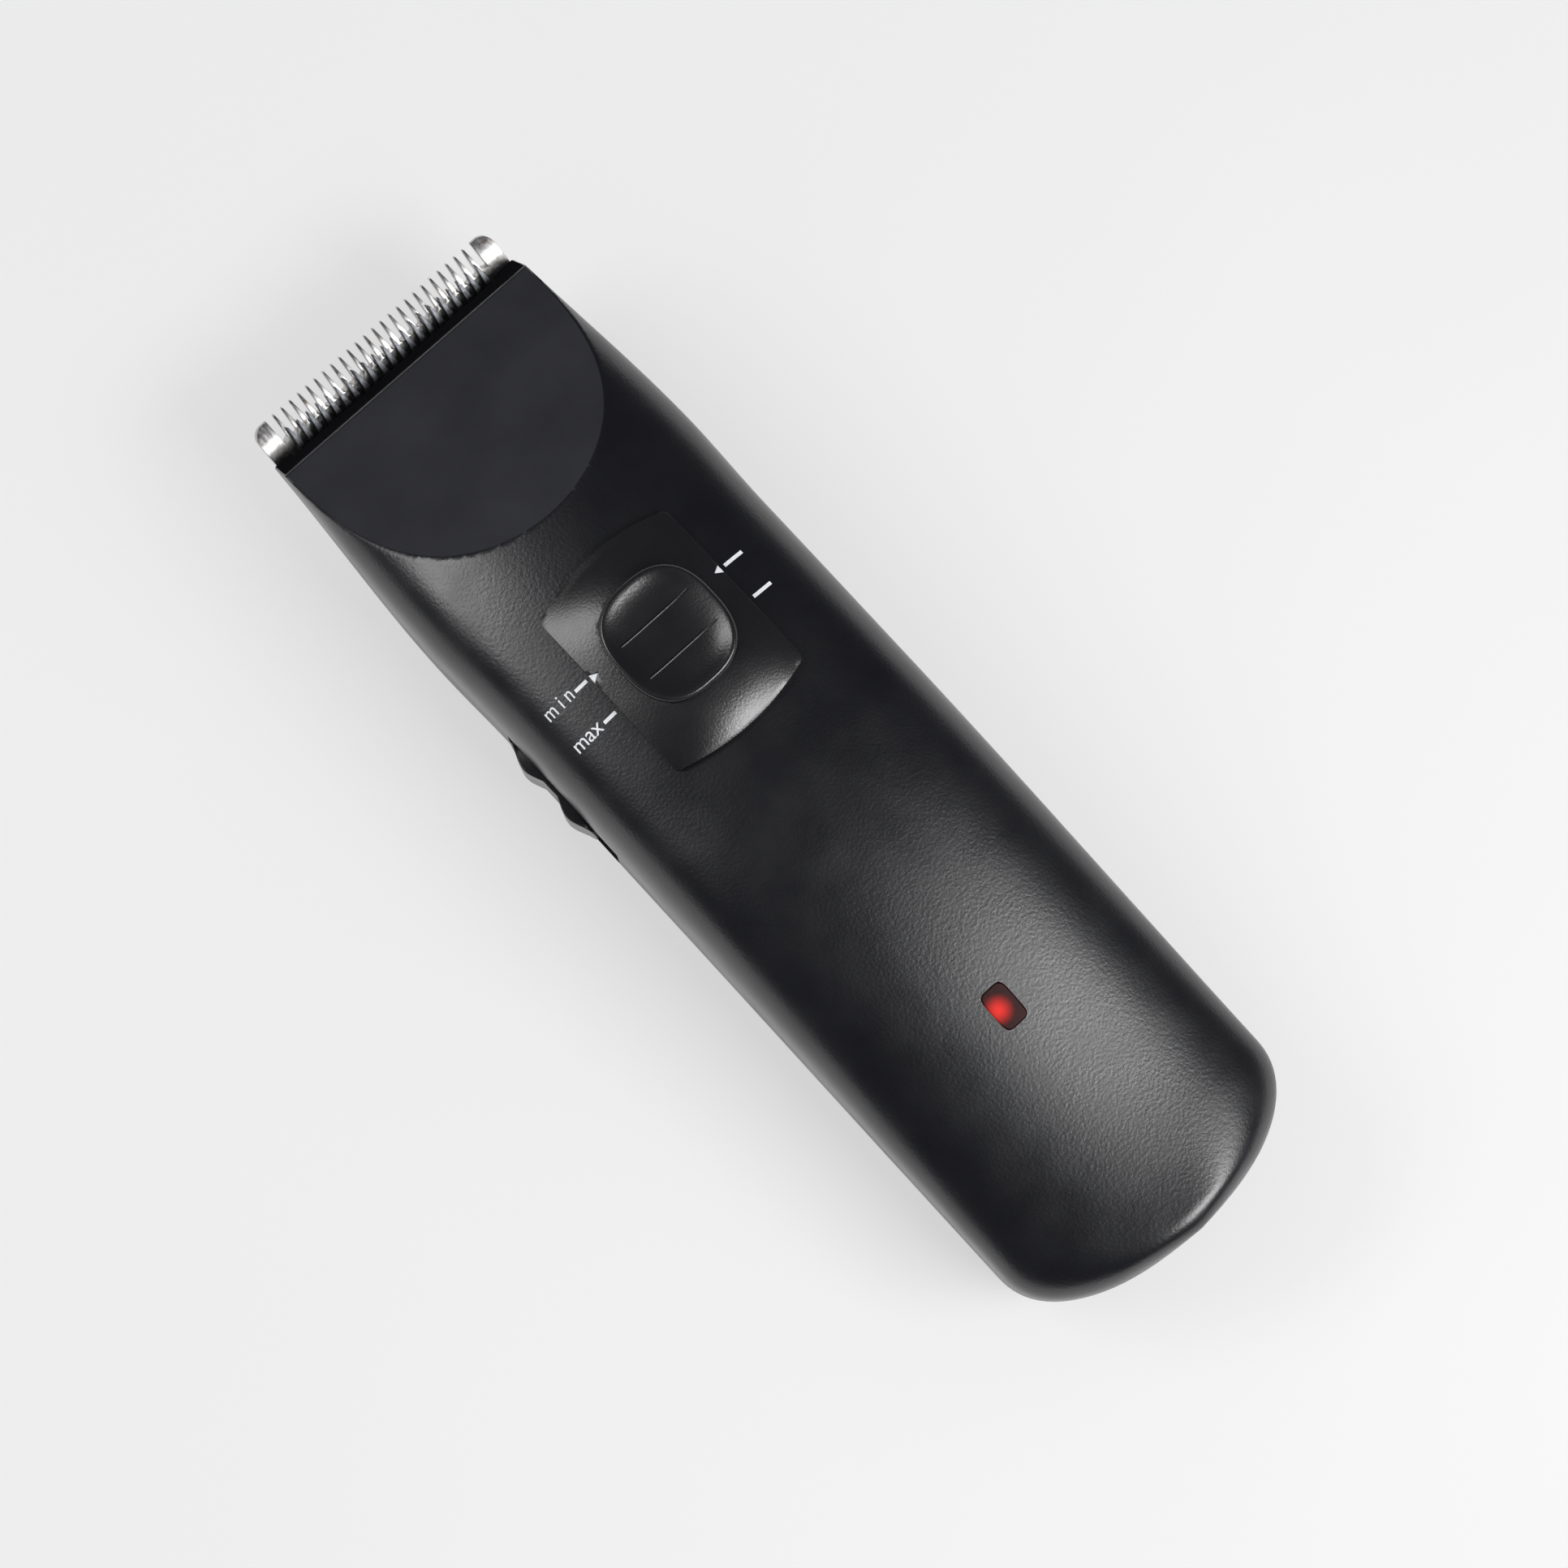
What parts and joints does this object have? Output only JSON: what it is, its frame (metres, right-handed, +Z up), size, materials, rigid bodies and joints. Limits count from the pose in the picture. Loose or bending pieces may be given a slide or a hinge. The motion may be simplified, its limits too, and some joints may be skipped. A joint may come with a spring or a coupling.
{
  "type": "cordless animal clipper",
  "caption": "Cordless animal clipper with a toothed detachable blade head, a length slider on top, a side slide switch, a status light and a motor, cell and board inside.",
  "frame": {"origin": "centre of the flat land on the belly that the clipper lies on", "axes": "+Z up from the surface it lies on, +Y along the handle towards the blade teeth"},
  "size_m": [0.052, 0.178, 0.0454],
  "materials": {
    "satin_black": "fine grained satin black",
    "gloss_black": "smooth black",
    "blade_steel": "ground blade steel",
    "plain_steel": "plain steel",
    "grey_plastic": "moulded",
    "natural_plastic": "moulded",
    "board_green": "solder mask",
    "cell_wrap": "shrink wrap",
    "red_lens": "clear red"
  },
  "bodies": {
    "housing": {"upper_shell": "satin_black", "lower_shell": "satin_black", "housing_screw_1": "plain_steel", "housing_screw_2": "plain_steel", "housing_screw_3": "plain_steel", "housing_screw_4": "plain_steel", "chassis": "grey_plastic", "motor_can": "plain_steel", "battery_cell": "cell_wrap", "battery_tab_front": "plain_steel", "battery_tab_rear": "plain_steel", "circuit_board": "board_green", "status_led": "red_lens", "led_lens": "red_lens", "charge_socket": "gloss_black", "switch_module": "gloss_black"},
    "rotor": {"motor_shaft": "plain_steel", "eccentric": "natural_plastic"},
    "slider": {"length_slider": "satin_black", "thumb_pad": "gloss_black", "slider_retainer": "grey_plastic", "taper_link": "plain_steel"},
    "switch": {"switch_knob": "satin_black", "switch_carrier": "grey_plastic"},
    "blade_head": {"comb_blade": "blade_steel", "blade_base": "gloss_black", "blade_screw_left": "plain_steel", "blade_screw_right": "plain_steel"},
    "taper_carriage": {"cutter_carriage": "natural_plastic", "cutter_spring": "plain_steel"},
    "cutter": {"cutter_blade": "blade_steel", "drive_lever": "natural_plastic"}
  },
  "joints": [
    {"name": "length_slide", "type": "slide", "parent": "housing", "child": "slider", "axis": [0, -1, 0], "range_m": [0, 0.006]},
    {"name": "power_switch", "type": "slide", "parent": "housing", "child": "switch", "axis": [0, -1, 0], "range_m": [0, 0.004]},
    {"name": "motor_spin", "type": "hinge", "parent": "housing", "child": "rotor", "pos_m": [0, 0.003, 0.0215], "axis": [0, 1, 0], "continuous": true},
    {"name": "head_tilt", "type": "hinge", "parent": "housing", "child": "blade_head", "pos_m": [0, 0.02794, 0.00626], "axis": [-1, 0, 0], "range_deg": [0, 30]},
    {"name": "taper_shift", "type": "slide", "parent": "blade_head", "child": "taper_carriage", "axis": [0, -0.788, -0.6157], "range_m": [0, 0.002]},
    {"name": "cutter_stroke", "type": "slide", "parent": "taper_carriage", "child": "cutter", "axis": [1, 0, 0], "range_m": [-0.0012, 0.0012]}
  ],
  "couplings": [
    {"joint": "taper_shift", "follows": "length_slide", "ratio": 0.33333}
  ]
}
